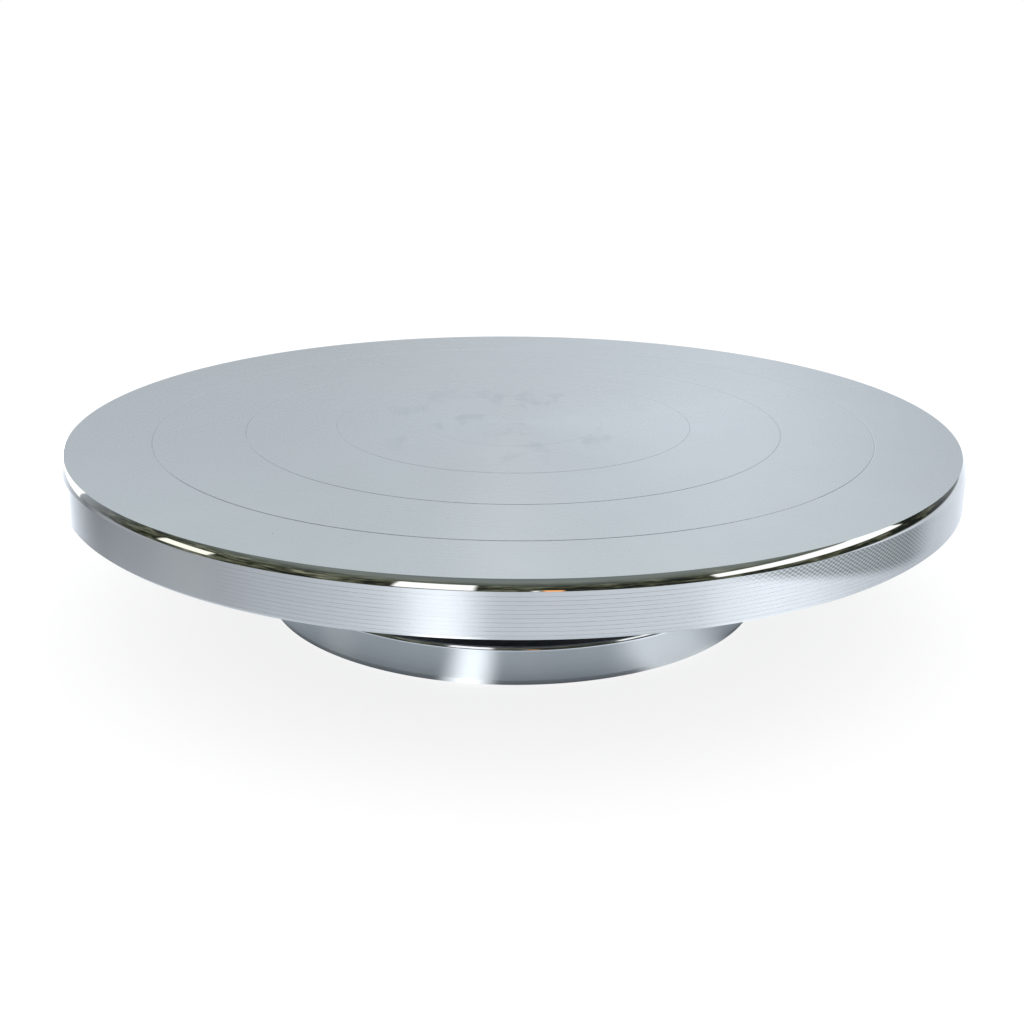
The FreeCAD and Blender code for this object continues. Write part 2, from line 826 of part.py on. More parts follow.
def build_all():
    """Makes every sub-part of the turntable."""
    turntable_plate()
    bearing_spindle()
    spindle_screws()
    inner_ring_spacer()
    shim_washer()
    spindle_circlip()
    ball_bearing("upper", d.upper_bearing_base)
    ball_bearing("lower", d.lower_bearing_base)
    housing_circlip("upper_housing_circlip", upper_circlip_base)
    housing_circlip("lower_housing_circlip", lower_circlip_base)
    preload_disc_spring()
    felt_dust_seal()
    base_casting()
    rubber_feet()
    bottom_cover()
    cover_screws()
    doc.recompute()


def check_all():
    """Stops if any object failed or any sub-part has no valid shape."""
    for item in doc.Objects:
        if "Invalid" in item.State or "Error" in item.State:
            raise RuntimeError(item.Name + " failed: " + ", ".join(item.State))
    for body in PARTS:
        if body.Shape.isNull() or not body.Shape.isValid():
            raise RuntimeError(body.Label + " has no valid shape")


def export_all():
    """Writes each sub-part to its own STEP file."""
    os.makedirs("parts", exist_ok=True)
    for body in PARTS:
        body.Shape.exportStep(os.path.join("parts", body.Label + ".step"))
        print(body.Label, len(body.Shape.Solids), "solids,", round(body.Shape.Volume), "mm3")


build_all()
check_all()
export_all()
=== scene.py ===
"""Looks of the cake turntable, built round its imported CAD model. Metres, +Z up."""

import json
import math

import bmesh
import bpy
from mathutils import Matrix, Vector


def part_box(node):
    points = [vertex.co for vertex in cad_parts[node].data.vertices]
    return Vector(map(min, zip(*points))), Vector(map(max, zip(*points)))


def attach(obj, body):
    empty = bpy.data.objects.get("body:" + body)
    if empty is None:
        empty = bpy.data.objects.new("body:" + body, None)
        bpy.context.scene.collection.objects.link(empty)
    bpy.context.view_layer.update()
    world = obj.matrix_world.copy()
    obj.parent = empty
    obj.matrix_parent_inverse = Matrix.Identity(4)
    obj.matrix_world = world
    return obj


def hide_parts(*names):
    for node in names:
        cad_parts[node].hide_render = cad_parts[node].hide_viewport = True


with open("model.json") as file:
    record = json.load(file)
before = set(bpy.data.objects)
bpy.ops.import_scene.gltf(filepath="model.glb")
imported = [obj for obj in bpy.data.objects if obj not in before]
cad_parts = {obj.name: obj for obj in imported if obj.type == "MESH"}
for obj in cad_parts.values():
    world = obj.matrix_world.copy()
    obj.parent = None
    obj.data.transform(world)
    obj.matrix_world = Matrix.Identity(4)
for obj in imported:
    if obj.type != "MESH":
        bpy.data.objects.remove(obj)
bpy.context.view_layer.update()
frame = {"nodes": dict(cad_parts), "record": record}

MM = 0.001

# ------------------------------------------------------------ sizes from the frame

PLATE_LOW, PLATE_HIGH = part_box("turntable_plate")
BASE_LOW, BASE_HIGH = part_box("base_casting")

PLATE_R = PLATE_HIGH.y
PLATE_TOP = PLATE_HIGH.z
RIM_BOTTOM = PLATE_LOW.z
BASE_R = BASE_HIGH.y
BASE_BOTTOM = BASE_LOW.z
TOWER_TOP = BASE_HIGH.z

# --------------------------------------------------------------------- the camera

CAMERA_DISTANCE = 0.477
CAMERA_ELEVATION = math.radians(14.88)
CAMERA_TILT = math.radians(-3.75)
CAMERA_PAN = math.radians(0.03)
CAMERA_ROLL = math.radians(-0.34)
CAMERA_LENS = 48.4
SENSOR_WIDTH = 36.0


def make_camera():
    """Looks across the plate from the front, a little above the plate's level."""
    data = bpy.data.cameras.new("camera")
    data.sensor_width = SENSOR_WIDTH
    data.lens = CAMERA_LENS
    data.clip_start, data.clip_end = 0.01, 100.0
    camera = bpy.data.objects.new("camera", data)
    bpy.context.collection.objects.link(camera)
    target = Vector((0, 0, PLATE_TOP))
    back = Vector((0, -math.cos(CAMERA_ELEVATION), math.sin(CAMERA_ELEVATION)))
    camera.location = target + back * CAMERA_DISTANCE
    forward = -back
    right = Vector((1, 0, 0))
    up = right.cross(forward)
    turn = Matrix.Rotation(CAMERA_PAN, 3, up)
    forward, right = turn @ forward, turn @ right
    tilt = Matrix.Rotation(CAMERA_TILT, 3, right)
    forward, up = tilt @ forward, tilt @ up
    roll = Matrix.Rotation(CAMERA_ROLL, 3, forward)
    right, up = roll @ right, roll @ up
    axes = Matrix((right, up, -forward)).transposed()
    camera.rotation_euler = axes.to_euler()
    bpy.context.scene.camera = camera


make_camera()

# ------------------------------------------------------------------ mesh building

SEGMENTS = 512
SHARP_ANGLE = math.radians(7)
FILLET_STEP = 6
ON_AXIS = 1e-9


def link(name, mesh):
    """A new object of this mesh."""
    piece = bpy.data.objects.new(name, mesh)
    bpy.context.collection.objects.link(piece)
    return piece


def corner_angle(before, here, after):
    """How far the outline turns at a point, in radians."""
    one, two = here - before, after - here
    if one.length == 0 or two.length == 0:
        return 0.0
    return one.angle(two, 0.0)


def lathe(name, outline, segments=SEGMENTS):
    """Revolves a closed (r, z) outline about Z, with its corners kept sharp."""
    points = [Vector(point) for point in outline]
    build = bmesh.new()
    rings = []
    for point in points:
        if point.x < ON_AXIS:
            rings.append([build.verts.new((0, 0, point.y))])
            continue
        ring = []
        for step in range(segments):
            angle = 2 * math.pi * step / segments
            place = (point.x * math.cos(angle), point.x * math.sin(angle), point.y)
            ring.append(build.verts.new(place))
        rings.append(ring)
    count = len(points)
    for index in range(count):
        low, high = rings[index], rings[(index + 1) % count]
        if len(low) == 1 and len(high) == 1:
            continue
        for step in range(segments):
            after = (step + 1) % segments
            if len(low) == 1:
                corners = (low[0], high[after], high[step])
            elif len(high) == 1:
                corners = (low[step], low[after], high[0])
            else:
                corners = (low[step], low[after], high[after], high[step])
            build.faces.new(corners).smooth = True
    for index, ring in enumerate(rings):
        if len(ring) == 1:
            continue
        turn = corner_angle(points[index - 1], points[index], points[(index + 1) % count])
        if turn > SHARP_ANGLE:
            for step in range(segments):
                edge = build.edges.get((ring[step], ring[(step + 1) % segments]))
                edge.smooth = False
    bmesh.ops.recalc_face_normals(build, faces=build.faces)
    mesh = bpy.data.meshes.new(name)
    build.to_mesh(mesh)
    build.free()
    return link(name, mesh)


def bulged(start, finish, radius, steps):
    """Points from start to finish along an arc that bulges to the right of the way."""
    a, b = Vector(start), Vector(finish)
    chord = b - a
    left = Vector((-chord.y, chord.x)).normalized()
    centre = (a + b) / 2 + left * math.sqrt(radius ** 2 - (chord.length / 2) ** 2)
    first = math.atan2(a.y - centre.y, a.x - centre.x)
    last = math.atan2(b.y - centre.y, b.x - centre.x)
    if last < first:
        last += 2 * math.pi
    return [(centre.x + radius * math.cos(first + (last - first) * step / steps),
             centre.y + radius * math.sin(first + (last - first) * step / steps))
            for step in range(steps + 1)]


def fillet(centre, radius, start, finish):
    """Points along a small arc about centre, from one whole angle in degrees down to a lower one."""
    points = []
    for degrees in range(start, finish - 1, -FILLET_STEP):
        angle = math.radians(degrees)
        points.append((centre[0] + radius * math.cos(angle), centre[1] + radius * math.sin(angle)))
    return points


# -------------------------------------------------------------------- the pieces

BEVEL_WIDTH = 1.4 * MM
BEVEL_HEIGHT = 2.9 * MM
BEVEL_BULGE = 7.7 * MM
BEVEL_STEPS = 14
RIM_WALL = 8.0 * MM
RIM_CHAMFER = 0.9 * MM
RIM_DRAFT = 0.6 * MM
RIM_PLAIN_BAND = 0.05 * MM
RING_SPACING = 30.3 * MM
RING_COUNT = 4
RING_DEPTH = 0.062 * MM
RING_WIDTH = 0.34 * MM
RING_FADE = 1.2
RING_GENTLE_SLOPE = math.radians(8)
RING_STEEP_SLOPE = math.radians(40)
OUTER_RING_SLOPE = math.radians(60)
TURNING_PITCH = 1.15 * MM
TURNING_LINES = 10
TURNING_DEPTH = 0.018 * MM
TURNING_WIDTH = 0.14 * MM
CHATTER_DEGREES = 0.72
PLATE_WEB = 6.0 * MM
HUB_R = 34.0 * MM
HUB_DEPTH = 3.0 * MM
HUB_SLOPE = 1.0 * MM
PLATE_RIBS = 8
RIB_WIDTH = 5.0 * MM
RIB_DEPTH = 4.0 * MM
RIB_STEP = 0.15 * MM
RIB_SLOPE = 0.3 * MM
RIB_OVERLAP = 1.0 * MM
RIB_FOOT_SHARE = 0.8
RING_RIB_R = 92.0 * MM
SKIRT_FILLET = 2.5 * MM
BASE_THICK = 12.6 * MM
BASE_BEVEL_WIDTH = 0.5 * MM
BASE_BEVEL_HEIGHT = 1.3 * MM
BASE_BEVEL_BULGE = 3.6 * MM
BASE_FOOT_CHAMFER = 0.6 * MM
BASE_FOOT_BAND = 1.7 * MM
TOWER_R = 26.0 * MM
TOWER_FILLET = 4.0 * MM
TOWER_CHAMFER = 1.2 * MM
TOWER_FLOOR = 6.0 * MM
BORE_R = 18.5 * MM
HOLLOW_R = 62.0 * MM
HOLLOW_DEPTH = 7.6 * MM
COVER_SEAT_R = 66.0 * MM
COVER_RECESS = 2.1 * MM


def plate_top_outline():
    """Top of the plate from the rim inwards. Its centring rings get finer towards the middle."""
    points = []
    for number in range(RING_COUNT, 0, -1):
        radius = RING_SPACING * number
        depth = RING_DEPTH * (number / RING_COUNT) ** RING_FADE
        steep = OUTER_RING_SLOPE if number == RING_COUNT else RING_STEEP_SLOPE
        points += [(radius + depth / math.tan(RING_GENTLE_SLOPE), PLATE_TOP),
                   (radius, PLATE_TOP - depth),
                   (radius - depth / math.tan(steep), PLATE_TOP)]
    points.append((0, PLATE_TOP))
    return points


def rim_outline():
    """Outer face of the rim from its foot upwards, with the lines that turning left."""
    low = RIM_BOTTOM + RIM_CHAMFER
    high = PLATE_TOP - BEVEL_HEIGHT
    points = [(PLATE_R, low)]
    first = low + TURNING_PITCH / 2
    for number in range(TURNING_LINES):
        middle = first + TURNING_PITCH * number
        points += [(PLATE_R, middle - TURNING_WIDTH / 2),
                   (PLATE_R - TURNING_DEPTH, middle),
                   (PLATE_R, middle + TURNING_WIDTH / 2),
                   (PLATE_R, middle + TURNING_PITCH / 2)]
    return [point for point in points if point[1] < high - RIM_PLAIN_BAND]


def rib_box(build, angle, near, far, half_width, low, high):
    """Adds one straight rib, narrower at its foot, to a mesh that is being built."""
    turn = Matrix.Rotation(angle, 4, "Z")
    corners = []
    for height, half in ((low, half_width * RIB_FOOT_SHARE), (high, half_width)):
        for along, side in ((near, -half), (far, -half), (far, half), (near, half)):
            corners.append(build.verts.new(turn @ Vector((along, side, height))))
    for face in ((3, 2, 1, 0), (4, 5, 6, 7), (0, 1, 5, 4), (1, 2, 6, 5), (2, 3, 7, 6), (3, 0, 4, 7)):
        build.faces.new([corners[index] for index in face])


def add_ribs(piece):
    """Adds the radial ribs under the plate to its mesh."""
    web = PLATE_TOP - PLATE_WEB
    near = HUB_R - RIB_OVERLAP
    far = PLATE_R - RIM_WALL + RIB_OVERLAP
    build = bmesh.new()
    build.from_mesh(piece.data)
    for number in range(PLATE_RIBS):
        angle = 2 * math.pi * number / PLATE_RIBS
        rib_box(build, angle, near, far, RIB_WIDTH / 2, web - RIB_DEPTH - RIB_STEP, web + RIB_STEP)
    bmesh.ops.recalc_face_normals(build, faces=build.faces)
    build.to_mesh(piece.data)
    build.free()


def underside_outline():
    """Underside of the plate from the hub outwards: hub face, web, ring rib and skirt."""
    web = PLATE_TOP - PLATE_WEB
    inner = PLATE_R - RIM_WALL
    points = [(0, web - HUB_DEPTH), (HUB_R, web - HUB_DEPTH), (HUB_R + HUB_SLOPE, web)]
    points += [(RING_RIB_R, web),
               (RING_RIB_R + RIB_SLOPE, web - RIB_DEPTH),
               (RING_RIB_R + RIB_WIDTH - RIB_SLOPE, web - RIB_DEPTH),
               (RING_RIB_R + RIB_WIDTH, web)]
    points += fillet((inner - SKIRT_FILLET, web - SKIRT_FILLET), SKIRT_FILLET, 90, 0)
    points.append((inner + RIM_DRAFT, RIM_BOTTOM))
    return points


def make_plate():
    """The turned plate: top, polished bevel, grooved rim and the ribbed underside."""
    outline = [(PLATE_R - RIM_CHAMFER, RIM_BOTTOM)]
    outline += rim_outline()
    outline += bulged((PLATE_R, PLATE_TOP - BEVEL_HEIGHT), (PLATE_R - BEVEL_WIDTH, PLATE_TOP),
                      BEVEL_BULGE, BEVEL_STEPS)
    outline += plate_top_outline()
    outline += underside_outline()
    plate = lathe("turned_plate", outline)
    add_ribs(plate)
    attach(plate, "rotor")
    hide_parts("turntable_plate")
    return plate


plate = make_plate()


def base_underside():
    """Radius, and height over the base's foot, of the corners below the bore, outwards."""
    return [(BORE_R, TOWER_FLOOR), (TOWER_R, TOWER_FLOOR),
            (TOWER_R, HOLLOW_DEPTH), (HOLLOW_R, HOLLOW_DEPTH),
            (HOLLOW_R, COVER_RECESS), (COVER_SEAT_R, COVER_RECESS), (COVER_SEAT_R, 0.0)]


def make_base():
    """The turned base disc with its tower."""
    top = BASE_BOTTOM + BASE_THICK
    outline = [(BASE_R - BASE_FOOT_CHAMFER, BASE_BOTTOM), (BASE_R, BASE_BOTTOM + BASE_FOOT_BAND)]
    outline += bulged((BASE_R, top - BASE_BEVEL_HEIGHT), (BASE_R - BASE_BEVEL_WIDTH, top),
                      BASE_BEVEL_BULGE, BEVEL_STEPS)
    fillet_centre = (TOWER_R + TOWER_FILLET, top + TOWER_FILLET)
    outline += fillet(fillet_centre, TOWER_FILLET, 270, 180)
    outline += [(TOWER_R, TOWER_TOP - TOWER_CHAMFER),
                (TOWER_R - TOWER_CHAMFER, TOWER_TOP),
                (BORE_R, TOWER_TOP)]
    outline += [(radius, BASE_BOTTOM + height) for radius, height in base_underside()]
    base = lathe("turned_base", outline)
    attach(base, "base")
    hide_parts("base_casting")
    return base


base = make_base()

# ----------------------------------------------------------------- node building


class Nodes:
    """Builds a tree of shader nodes. A plain number may stand for a socket."""

    def __init__(self, tree):
        self.tree = tree

    def feed(self, source, target):
        """Connects a socket to an input, or sets the input to a value."""
        if isinstance(source, bpy.types.NodeSocket):
            self.tree.links.new(source, target)
        else:
            target.default_value = source

    def node(self, kind, inputs=None, **settings):
        """A new node with these settings and inputs."""
        made = self.tree.nodes.new(kind)
        for key, value in settings.items():
            setattr(made, key, value)
        for key, value in (inputs or {}).items():
            self.feed(value, made.inputs[key])
        return made

    def math(self, operation, *values):
        """The result of a math node."""
        made = self.node("ShaderNodeMath", operation=operation)
        for index, value in enumerate(values):
            self.feed(value, made.inputs[index])
        return made.outputs[0]

    def smooth(self, value, low, high, start=0.0, finish=1.0):
        """Rises smoothly from start to finish as value goes from low to high."""
        made = self.node("ShaderNodeMapRange", interpolation_type="SMOOTHSTEP")
        for key, item in (("Value", value), ("From Min", low), ("From Max", high),
                          ("To Min", start), ("To Max", finish)):
            self.feed(item, made.inputs[key])
        return made.outputs[0]

    def mix(self, factor, one, two, blend="MIX"):
        """Mixes two colours."""
        made = self.node("ShaderNodeMix", data_type="RGBA", blend_type=blend, clamp_factor=True)
        self.feed(factor, made.inputs[0])
        self.feed(one, made.inputs[6])
        self.feed(two, made.inputs[7])
        return made.outputs[2]

    def ramp(self, value, stops):
        """A colour ramp of (place, colour) stops."""
        made = self.node("ShaderNodeValToRGB", inputs={"Fac": value})
        elements = made.color_ramp.elements
        while len(elements) < len(stops):
            elements.new(0.5)
        for element, (place, colour) in zip(elements, stops):
            element.position = place
            element.color = (*colour, 1.0)
        return made.outputs["Color"]

    def noise(self, vector, scale, detail=2.0, roughness=0.5):
        """Value noise of a vector."""
        made = self.node("ShaderNodeTexNoise", inputs={"Vector": vector, "Scale": scale,
                                                       "Detail": detail, "Roughness": roughness})
        return made.outputs["Fac"]


def grey(value):
    """A grey as a colour."""
    return (value, value, value)


def tinted(value, tint=(0.94, 1.0, 1.09)):
    """The studio's cool grey of this strength."""
    return tuple(value * channel for channel in tint)


def window(n, azimuth, elevation, left, right, low, high, soft=0.8):
    """1 inside a soft-edged window of the sky, 0 outside, in degrees."""
    sides = n.math("MULTIPLY", n.smooth(azimuth, left - soft, left + soft),
                   n.smooth(azimuth, right - soft, right + soft, 1.0, 0.0))
    ends = n.math("MULTIPLY", n.smooth(elevation, low - soft, low + soft),
                  n.smooth(elevation, high - soft, high + soft, 1.0, 0.0))
    return n.math("MULTIPLY", sides, ends)


def round_ramp(n, turn, stops):
    """A ramp round the horizon of (azimuth, tone) stops. 0 is the camera's side, 90 the right."""
    return n.ramp(turn, [(azimuth / 360.0, tinted(tone)) for azimuth, tone in stops])


# (azimuth in degrees, brightness) round the table and round the room above it
TABLE_TONES = [(0, 0.78), (23, 0.84), (42, 0.90), (53, 1.10), (61, 1.24), (70, 1.18), (80, 1.00),
               (99, 0.75), (113, 0.58), (140, 0.85), (152, 1.15), (180, 1.2), (196, 1.1), (209, 4.0),
               (218, 1.00), (230, 0.50), (239, 0.22), (250, 0.36), (285, 0.46), (316, 0.72), (327, 0.86),
               (333, 0.98), (339, 1.28), (345, 1.38), (350, 1.05), (355, 0.82), (360, 0.78)]
ROOM_TONES = [(0, 0.05), (60, 0.06), (118, 0.18), (140, 0.34), (154, 0.40), (163, 0.54), (171, 0.79),
              (180, 0.62), (188, 0.50), (205, 0.49), (232, 0.42), (262, 0.12), (300, 0.05), (360, 0.05)]
WHITE = (1.0, 1.0, 0.98)
# name, azimuth from and to, elevation from and to, brightness, colour
WINDOWS = [
    ("front", 333.0, 351.5, 8.0, 27.0, 1.25, WHITE),
    ("left", 270.0, 286.0, 7.0, 18.0, 1.2, (1.0, 0.98, 0.88)),
    ("streak", 179.6, 181.6, 27.0, 80.0, 1.6, WHITE),
    ("left_back", 209.0, 235.0, -3.0, 15.0, 1.3, WHITE),
    ("lamp", 7.0, 11.5, 7.0, 10.5, 1.2, (1.0, 0.45, 0.18)),
    ("spot", 4.5, 6.0, 7.5, 9.5, 1.2, WHITE),
]
# azimuth from and to, elevation from and to straight ahead of it, brightness
RIGHT_WALL_WINDOW = (47.5, 106.0, 15.0, 28.5, 1.2)


def make_world():
    """The studio that the metal reflects: pale behind the plate, dark on the camera's side."""
    world = bpy.data.worlds.new("studio")
    bpy.context.scene.world = world
    world.use_nodes = True
    n = Nodes(world.node_tree)
    background = world.node_tree.nodes["Background"]
    direction = n.node("ShaderNodeTexCoord").outputs["Generated"]
    split = n.node("ShaderNodeSeparateXYZ", inputs={"Vector": direction})
    x, y, z = split.outputs
    behind = n.math("MULTIPLY", y, -1.0)
    signed = n.math("DEGREES", n.math("ARCTAN2", x, behind))
    azimuth = n.math("MODULO", n.math("ADD", signed, 360.0), 360.0)
    elevation = n.math("DEGREES", n.math("ARCSINE", z))
    turn = n.math("DIVIDE", azimuth, 360.0)
    table = round_ramp(n, turn, TABLE_TONES)
    room = round_ramp(n, turn, ROOM_TONES)
    room = n.mix(camera_side(n, turn), room, clutter(n, direction, elevation))
    glow = n.math("MULTIPLY", n.smooth(elevation, 15.5, 22.5), n.smooth(y, 0.3, 0.8))
    room = n.mix(n.math("MULTIPLY", glow, 0.9), room, (0.70, 0.78, 0.765, 1))
    sky = n.mix(n.smooth(elevation, 30.0, 65.0), room, (*tinted(0.16), 1))
    total = n.mix(n.smooth(elevation, -1.0, 2.0), table, sky)
    for _, left, right, low, high, power, colour in WINDOWS:
        inside = window(n, azimuth, elevation, left, right, low, high)
        total = n.mix(inside, total, (*(power * channel for channel in colour), 1))
    total = right_window(n, azimuth, elevation, total)
    n.feed(total, background.inputs["Color"])


def camera_side(n, turn):
    """1 in the front half of the room, 0 behind the plate."""
    stops = [(0, 1.0), (112, 1.0), (142, 0.0), (235, 0.0), (262, 1.0), (360, 1.0)]
    return n.ramp(turn, [(azimuth / 360, grey(share)) for azimuth, share in stops])


def clutter(n, direction, elevation):
    """The dim room behind the camera: near black, with olive and gold shapes low down."""
    coarse = n.noise(direction, 5.0, 3.0, 0.65)
    fine = n.noise(direction, 16.0, 2.0, 0.6)
    shapes = n.math("ADD", n.math("MULTIPLY", coarse, 0.65), n.math("MULTIPLY", fine, 0.35))
    tones = n.ramp(shapes, [(0.0, (0.01, 0.012, 0.012)), (0.44, (0.015, 0.018, 0.015)),
                            (0.52, (0.07, 0.075, 0.045)), (0.60, (0.16, 0.17, 0.13)),
                            (0.68, (0.34, 0.32, 0.22)), (1.0, (0.6, 0.5, 0.3))])
    high = n.smooth(elevation, 18.0, 48.0)
    return n.mix(high, tones, (0.22, 0.25, 0.23, 1))


def right_window(n, azimuth, elevation, below):
    """A wide window in a wall on the right, whose edges drop towards its ends."""
    left, right, low, high, power = RIGHT_WALL_WINDOW
    reach = n.math("SINE", n.math("RADIANS", azimuth))
    rise = n.math("TANGENT", n.math("RADIANS", elevation))
    level = n.math("DEGREES", n.math("ARCTAN2", rise, reach))
    inside = window(n, azimuth, level, left, right, low, high)
    return n.mix(inside, below, (power, power, power * 0.99, 1))


# --------------------------------------------------------------------- materials


def new_material(name):
    """A material with its node builder and its Principled shader."""
    material = bpy.data.materials.new(name)
    material.use_nodes = True
    n = Nodes(material.node_tree)
    return material, n, material.node_tree.nodes["Principled BSDF"]


def radial(n, position):
    """Distance from the Z axis, and height, of a place on the object."""
    split = n.node("ShaderNodeSeparateXYZ", inputs={"Vector": position})
    x, y, z = split.outputs
    squares = n.math("ADD", n.math("MULTIPLY", x, x), n.math("MULTIPLY", y, y))
    return n.math("SQRT", squares), z


def brushed_round(n, shader, anisotropic):
    """Stretches reflections across the turning lines."""
    shader.inputs["Anisotropic"].default_value = anisotropic
    shader.inputs["Anisotropic Rotation"].default_value = 0.25
    tangent = n.node("ShaderNodeTangent", direction_type="RADIAL", axis="Z")
    n.feed(tangent.outputs[0], shader.inputs["Tangent"])


def turned_metal(name, colour, roughness, anisotropic, line_scale, vary=0.03, extra=None):
    """Turned aluminium with fine lines round the axis, cloudy marks and a few pits."""
    material, n, shader = new_material(name)
    position = n.node("ShaderNodeTexCoord").outputs["Object"]
    radius, height = radial(n, position)
    along = n.node("ShaderNodeCombineXYZ", inputs={"X": radius, "Y": height})
    lines = n.noise(along.outputs[0], line_scale, 3.0, 0.7)
    clouds = n.noise(position, 35.0, 4.0, 0.6)
    marks = n.math("ADD", n.math("MULTIPLY", lines, 0.5), n.math("MULTIPLY", clouds, 0.5))
    shader.inputs["Metallic"].default_value = 1.0
    darker = tuple(channel * (1 - vary * 2) for channel in colour)
    lighter = tuple(min(1.0, channel * (1 + vary)) for channel in colour)
    tone = n.mix(n.smooth(marks, 0.3, 0.7), (*darker, 1), (*lighter, 1))
    tone = n.mix(pits(n, position), tone, (0.10, 0.10, 0.11, 1))
    if extra:
        tone = extra(n, tone, position, radius, height)
    n.feed(tone, shader.inputs["Base Color"])
    rougher, smoother = roughness * (1 + 3 * vary), roughness * (1 - 2 * vary)
    n.feed(n.smooth(marks, 0.3, 0.7, rougher, smoother), shader.inputs["Roughness"])
    if anisotropic:
        brushed_round(n, shader, anisotropic)
    return material


def pits(n, position):
    """1 in a few pinholes a quarter of a millimetre across, 0 elsewhere."""
    cells = n.node("ShaderNodeTexVoronoi", inputs={"Vector": position, "Scale": 110.0})
    chosen = n.node("ShaderNodeSeparateColor", inputs={"Color": cells.outputs["Color"]}).outputs[0]
    near = n.smooth(cells.outputs["Distance"], 0.014, 0.030, 1.0, 0.0)
    return n.math("MULTIPLY", near, n.math("GREATER_THAN", chosen, 0.86))


def ring_painted_shade(n, tone, radius):
    """Painted shade in the centring rings: darkens their grooves, less towards the middle."""
    nearest = n.math("ROUND", n.math("DIVIDE", radius, RING_SPACING))
    away = n.math("ABSOLUTE", n.math("SUBTRACT", radius, n.math("MULTIPLY", nearest, RING_SPACING)))
    inside = n.smooth(away, RING_WIDTH * 0.3, RING_WIDTH * 0.7, 1.0, 0.0)
    strength = n.smooth(radius, RING_SPACING * 0.6, RING_SPACING * 3.0, 0.0, 0.5)
    # painted shade: the ring grooves are mixed towards this grey
    return n.mix(n.math("MULTIPLY", inside, strength), tone, (0.40, 0.43, 0.46, 1))


def smudges_and_ring_shade(n, tone, position, radius, height):
    """Faint fingerprints round the middle of the plate, and the painted shade in its centring rings."""
    # painted shade in the centring rings
    tone = ring_painted_shade(n, tone, radius)
    stretched = n.node("ShaderNodeMapping", inputs={"Vector": position, "Scale": (1.0, 0.55, 1.0)})
    prints = n.smooth(n.noise(stretched.outputs[0], 75.0, 3.0, 0.55), 0.51, 0.68)
    middle = n.smooth(radius, 0.030, 0.062, 1.0, 0.0)
    return n.mix(n.math("MULTIPLY", n.math("MULTIPLY", prints, middle), 0.6), tone,
                 (0.62, 0.66, 0.69, 1))


def chatter_and_painted_reflection(n, tone, position, radius, height):
    """A patch high on the rim: fine dotted marks that the turning tool left, over a painted dark
    reflection that darkens the whole patch.
    """
    split = n.node("ShaderNodeSeparateXYZ", inputs={"Vector": position})
    ahead = n.math("MULTIPLY", split.outputs[1], -1.0)
    angle = n.math("DEGREES", n.math("ARCTAN2", split.outputs[0], ahead))
    sides = n.math("MULTIPLY", n.smooth(angle, 17.0, 29.0), n.smooth(angle, 46.0, 54.0, 1.0, 0.0))
    middle = n.smooth(angle, 18.0, 48.0, RIM_BOTTOM + 12.5 * MM, RIM_BOTTOM + 3.0 * MM)
    above = n.math("SUBTRACT", height, middle)
    # patch: where the painted dark reflection lies, high on the rim's front right; the dots are the tool
    # marks
    patch = n.math("MULTIPLY", sides, n.smooth(above, -1.5 * MM, 2.0 * MM))
    columns = n.math("SINE", n.math("MULTIPLY", angle, 2 * math.pi / CHATTER_DEGREES))
    rows = n.math("SINE", n.math("MULTIPLY", height, 2 * math.pi / TURNING_PITCH))
    dots = n.smooth(n.math("MULTIPLY", columns, rows), -0.6, 0.6, 0.34, 0.76)
    # mixes the patch towards near black as a painted dark reflection, more or less by the dot pattern
    return n.mix(n.math("MULTIPLY", patch, dots), tone, (0.10, 0.125, 0.11, 1))


def dull_metal(name, colour, roughness, grain, grain_depth, vary=0.12, metallic=1.0):
    """Cast, pressed or ground metal, rubber or felt: mottled, with a fine bumpy grain."""
    material, n, shader = new_material(name)
    position = n.node("ShaderNodeTexCoord").outputs["Object"]
    mottle = n.noise(position, grain * 0.08, 4.0, 0.6)
    fine = n.noise(position, grain, 3.0, 0.6)
    darker = tuple(channel * (1 - vary) for channel in colour)
    lighter = tuple(min(1.0, channel * (1 + vary)) for channel in colour)
    shader.inputs["Metallic"].default_value = metallic
    tone = n.mix(n.smooth(mottle, 0.35, 0.65), (*darker, 1), (*lighter, 1))
    n.feed(tone, shader.inputs["Base Color"])
    n.feed(n.smooth(fine, 0.3, 0.7, roughness * 0.85, roughness * 1.15), shader.inputs["Roughness"])
    bump = n.node("ShaderNodeBump", inputs={"Height": fine, "Distance": grain_depth, "Strength": 0.6})
    n.feed(bump.outputs[0], shader.inputs["Normal"])
    return material


top_metal = turned_metal("plate_top_metal", (0.80, 0.82, 0.85), 0.27, 0.5, 1500.0, 0.012, smudges_and_ring_shade)
bevel_metal = turned_metal("bevel_mirror", (0.86, 0.87, 0.86), 0.03, 0.0, 600.0, 0.01)
rim_metal = turned_metal("rim_metal", (0.775, 0.785, 0.79), 0.24, 0.96, 2500.0, 0.02, chatter_and_painted_reflection)
base_metal = turned_metal("base_metal", (0.76, 0.785, 0.81), 0.37, 0.99, 2000.0, 0.02)
base_bevel_metal = turned_metal("base_bevel_metal", (0.80, 0.82, 0.85), 0.10, 0.0, 600.0, 0.01)
# Cast metal of the plate's underside and the base's tower and top face, darker than its own cast tone as
# painted shade in the gap under the plate
shade_darkened_cast_metal = dull_metal("shade_darkened_cast_metal", (0.20, 0.21, 0.22), 0.5, 1800.0, 0.12 * MM)
ground_metal = dull_metal("ground_metal", (0.46, 0.47, 0.49), 0.45, 1500.0, 0.05 * MM, 0.08, 0.3)


NEAR = 0.01 * MM
BASE_SIDE = 1.5 * MM


def assign(piece, materials, choose):
    """Gives each face the material that choose picks."""
    for material in materials:
        piece.data.materials.append(material)
    for face in piece.data.polygons:
        face.material_index = choose(face)


